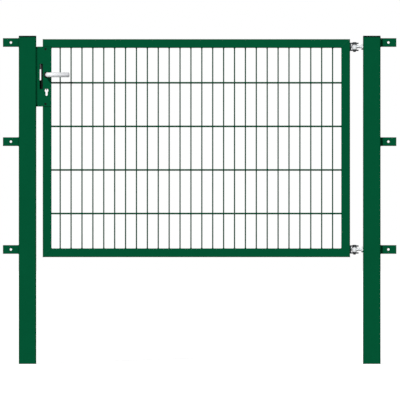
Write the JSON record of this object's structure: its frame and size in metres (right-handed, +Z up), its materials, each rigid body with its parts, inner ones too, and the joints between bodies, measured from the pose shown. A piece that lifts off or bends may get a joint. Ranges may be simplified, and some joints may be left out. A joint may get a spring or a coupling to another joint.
{
  "type": "steel garden gate",
  "caption": "Single-leaf steel garden gate with wire mesh infill, two square posts with fence lugs, adjustable hinges, lock and lever handle.",
  "frame": {"origin": "centre of the hinge post's foot, on its bottom plane", "axes": "+Z up along the posts, -Y out of the front (the side the leaf opens to), +X from the latch post towards the hinge post"},
  "size_m": [1.806, 0.16, 1.506],
  "materials": {
    "post_paint": "satin",
    "frame_paint": "satin",
    "mesh_paint": "satin",
    "cap_plastic": "matte",
    "zinc_steel": "satin",
    "lock_steel": "satin",
    "handle_aluminium": "satin",
    "black_plastic": "matte",
    "dark_screw": "satin"
  },
  "bodies": {
    "posts": {"hinge_post": "post_paint", "latch_post": "post_paint", "hinge_post_cap": "cap_plastic", "latch_post_cap": "cap_plastic", "hinge_post_top_bracket": "post_paint", "hinge_post_middle_bracket": "post_paint", "hinge_post_bottom_bracket": "post_paint", "latch_post_top_bracket": "post_paint", "latch_post_middle_bracket": "post_paint", "latch_post_bottom_bracket": "post_paint", "strike_box": "post_paint", "stop_plate": "post_paint", "upper_eye_bolt": "zinc_steel", "lower_eye_bolt": "zinc_steel", "upper_eye_bolt_nut": "zinc_steel", "lower_eye_bolt_nut": "zinc_steel"},
    "leaf": {"top_rail": "frame_paint", "bottom_rail": "frame_paint", "lock_stile": "frame_paint", "hinge_stile": "frame_paint", "mesh_wires": "mesh_paint", "mesh_rods": "mesh_paint", "upper_hinge_fork": "zinc_steel", "lower_hinge_fork": "zinc_steel", "upper_hinge_pin": "zinc_steel", "lower_hinge_pin": "zinc_steel", "lock_cover": "post_paint", "cover_screws": "dark_screw", "lock_pad": "black_plastic", "lock_faceplate": "dark_screw", "faceplate_screws": "dark_screw", "lock_case": "lock_steel", "deadbolt": "lock_steel", "front_rosette": "black_plastic", "back_rosette": "black_plastic"},
    "handle": {"front_lever": "handle_aluminium", "back_lever": "handle_aluminium", "spindle": "lock_steel"},
    "latch": {"latch_bolt": "lock_steel"}
  },
  "joints": [
    {"name": "leaf_swing", "type": "hinge", "parent": "posts", "child": "leaf", "pos_m": [-0.0795, -0.017, 0.99], "axis": [0, 0, 1], "range_deg": [0, 105]},
    {"name": "handle_turn", "type": "hinge", "parent": "leaf", "child": "handle", "pos_m": [-1.4924, -0.0185, 1.3265], "axis": [0, 1, 0], "range_deg": [0, 40], "stiffness_Nm_per_rad": 1.5, "springref_deg": -8.59},
    {"name": "latch_slide", "type": "slide", "parent": "leaf", "child": "latch", "axis": [1, 0, 0], "range_m": [0, 0.014]}
  ],
  "couplings": [
    {"joint": "latch_slide", "follows": "handle_turn", "m_per_rad": 0.02}
  ]
}
